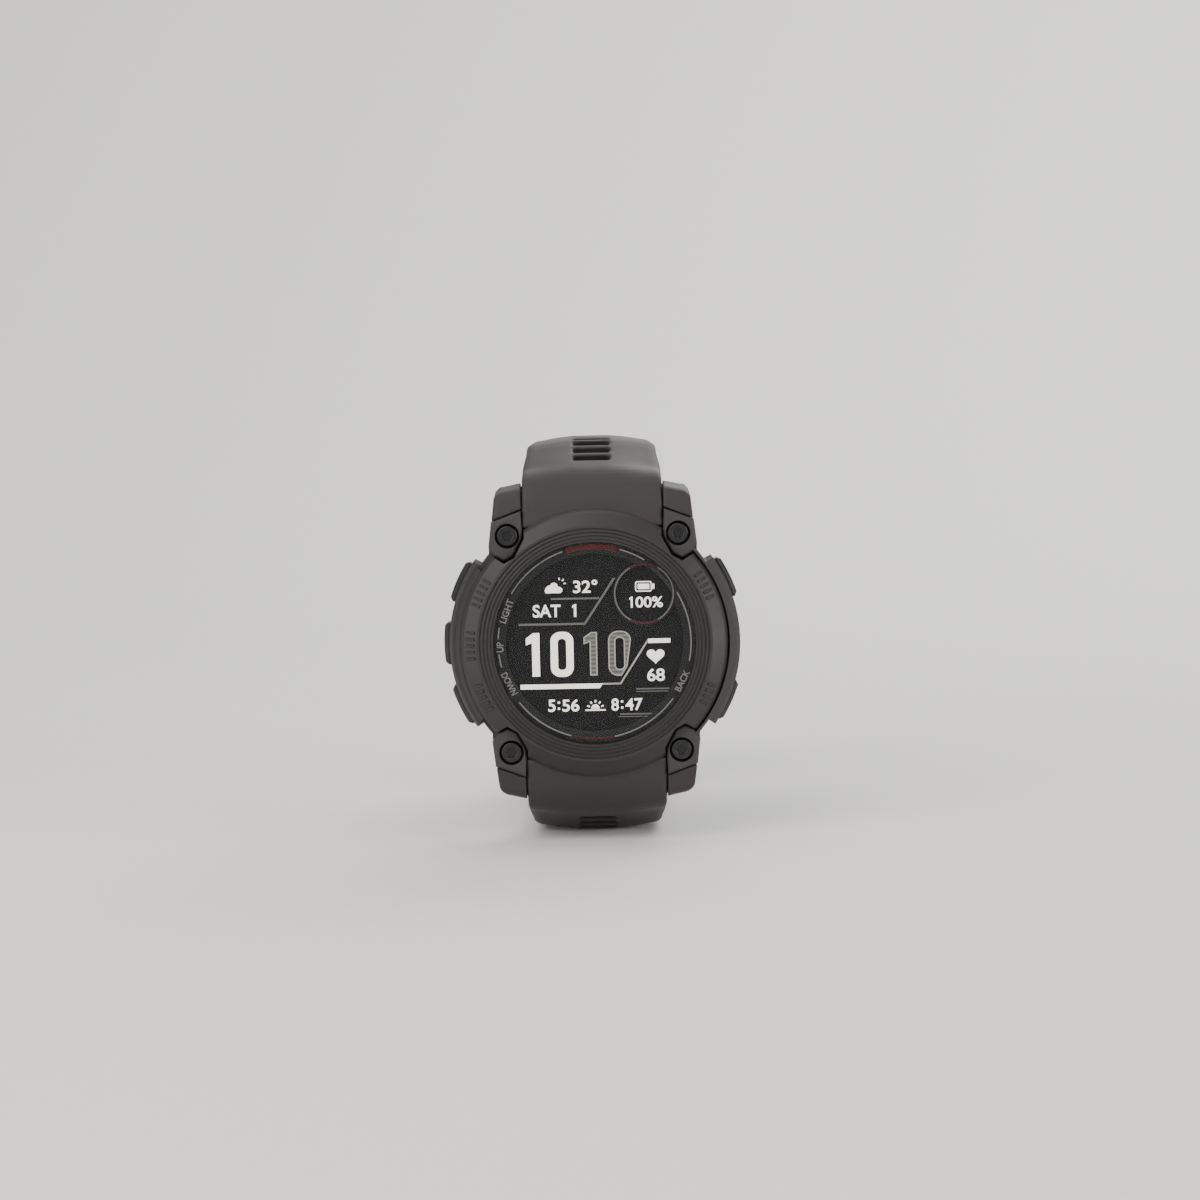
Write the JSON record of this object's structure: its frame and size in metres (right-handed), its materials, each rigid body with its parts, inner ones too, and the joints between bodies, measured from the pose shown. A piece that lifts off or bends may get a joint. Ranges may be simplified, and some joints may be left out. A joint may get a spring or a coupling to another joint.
{
  "type": "smartwatch",
  "caption": "Rugged round smartwatch with a screwed bezel, side buttons, a display under glass and a two-piece silicone strap with pin buckle, standing on its strap.",
  "frame": {"origin": "centre of the overall box, on the surface that the lower strap half stands on", "axes": "the display faces -Y, 12 o'clock points to +Z, 3 o'clock points to +X"},
  "size_m": [0.0408, 0.076, 0.0556],
  "materials": {
    "case": "fine moulded grain, fibre-reinforced",
    "bezel": "fine moulded grain, darker than the case",
    "lens": "clear, hard coated",
    "seal": "black silicone",
    "dial": "printed ring",
    "display": "reflective display behind the lens",
    "light_guide": "diffusing sheet",
    "inner_plastic": "moulded",
    "flex": "polyimide",
    "board": "solder mask",
    "shield": "tinned sheet",
    "antenna": "plated plastic",
    "battery": "foil pouch",
    "foam": "foam",
    "steel": "stainless",
    "tungsten": "sintered weight",
    "buzzer": "disc",
    "rear_cover": "moulded",
    "black_steel": "blackened",
    "brass": "turned",
    "switch": "moulded",
    "emitter": "green emitters and detector",
    "sensor_window": "dark clear window",
    "gold": "gold plated",
    "vent": "membrane",
    "strap": "matte silicone",
    "button": "moulded cap"
  },
  "bodies": {
    "watch_head": {"case_body": "case", "bezel": "bezel", "lens": "lens", "lens_gasket": "seal", "dial_ring": "dial", "display_panel": "display", "display_backlight": "light_guide", "display_frame": "inner_plastic", "display_flex": "flex", "main_board": "board", "board_shields": "shield", "gps_antenna": "antenna", "battery": "battery", "battery_pad": "foam", "inner_frame": "inner_plastic", "motor_can": "steel", "buzzer": "buzzer", "rear_cover": "rear_cover", "rear_gasket": "seal", "rear_screws": "steel", "bezel_screws": "black_steel", "thread_inserts": "brass", "button_bushings": "steel", "tact_switches": "switch", "sensor_board": "board", "sensor_emitters": "emitter", "sensor_window": "sensor_window", "sensor_flex": "flex", "charge_contacts": "gold", "vent_membrane": "vent"},
    "upper_strap": {"strap_upper": "strap", "spring_bar_upper": "steel", "keeper_fixed": "strap", "buckle_bar": "steel"},
    "lower_strap": {"strap_lower": "strap", "spring_bar_lower": "steel"},
    "upper_release": {"release_lever_upper": "steel"},
    "lower_release": {"release_lever_lower": "steel"},
    "loose_keeper": {"keeper_sliding": "strap"},
    "buckle": {"buckle_frame": "black_steel"},
    "tongue": {"buckle_tongue": "black_steel"},
    "rotor": {"motor_rotor": "tungsten"},
    "light_button": {"button_light": "button", "button_light_seal": "seal", "button_light_clip": "steel"},
    "up_button": {"button_up": "button", "button_up_seal": "seal", "button_up_clip": "steel"},
    "down_button": {"button_down": "button", "button_down_seal": "seal", "button_down_clip": "steel"},
    "start_button": {"button_start": "button", "button_start_seal": "seal", "button_start_clip": "steel"},
    "back_button": {"button_back": "button", "button_back_seal": "seal", "button_back_clip": "steel"}
  },
  "joints": [
    {"name": "upper_strap_pivot", "type": "hinge", "parent": "watch_head", "child": "upper_strap", "pos_m": [0.0004, -0.02985, 0.0466], "axis": [-1, 0, 0], "range_deg": [0, 10]},
    {"name": "lower_strap_pivot", "type": "hinge", "parent": "watch_head", "child": "lower_strap", "pos_m": [0.0004, -0.02985, 0.009], "axis": [1, 0, 0], "range_deg": [0, 10]},
    {"name": "upper_release_slide", "type": "slide", "parent": "upper_strap", "child": "upper_release", "axis": [-1, 0, 0], "range_m": [0, 0.0013], "stiffness_N_per_m": 600, "springref_m": -0.001},
    {"name": "lower_release_slide", "type": "slide", "parent": "lower_strap", "child": "lower_release", "axis": [-1, 0, 0], "range_m": [0, 0.0013], "stiffness_N_per_m": 600, "springref_m": -0.001},
    {"name": "keeper_slide", "type": "hinge", "parent": "upper_strap", "child": "loose_keeper", "pos_m": [0.0004, 0.00055, 0.0372], "axis": [1, 0, 0], "range_deg": [0, 40]},
    {"name": "buckle_pivot", "type": "hinge", "parent": "upper_strap", "child": "buckle", "pos_m": [0.0004, 0.01755, 0.0372], "axis": [-1, 0, 0], "range_deg": [-80, 80]},
    {"name": "tongue_pivot", "type": "hinge", "parent": "buckle", "child": "tongue", "pos_m": [0.0004, 0.01755, 0.0372], "axis": [1, 0, 0], "range_deg": [0, 85]},
    {"name": "vibration_motor", "type": "hinge", "parent": "watch_head", "child": "rotor", "pos_m": [-0.0038, -0.02935, 0.0196], "axis": [0, 1, 0], "continuous": true},
    {"name": "light_press", "type": "slide", "parent": "watch_head", "child": "light_button", "axis": [0.9063, 0, -0.4226], "range_m": [0, 0.0005], "stiffness_N_per_m": 1500, "springref_m": -0.0005},
    {"name": "up_press", "type": "slide", "parent": "watch_head", "child": "up_button", "axis": [1, 0, 0], "range_m": [0, 0.0005], "stiffness_N_per_m": 1500, "springref_m": -0.0005},
    {"name": "down_press", "type": "slide", "parent": "watch_head", "child": "down_button", "axis": [0.9063, 0, 0.4226], "range_m": [0, 0.0005], "stiffness_N_per_m": 1500, "springref_m": -0.0005},
    {"name": "start_press", "type": "slide", "parent": "watch_head", "child": "start_button", "axis": [-0.9063, 0, -0.4226], "range_m": [0, 0.0005], "stiffness_N_per_m": 1500, "springref_m": -0.0005},
    {"name": "back_press", "type": "slide", "parent": "watch_head", "child": "back_button", "axis": [-0.9063, 0, 0.4226], "range_m": [0, 0.0005], "stiffness_N_per_m": 1500, "springref_m": -0.0005}
  ]
}
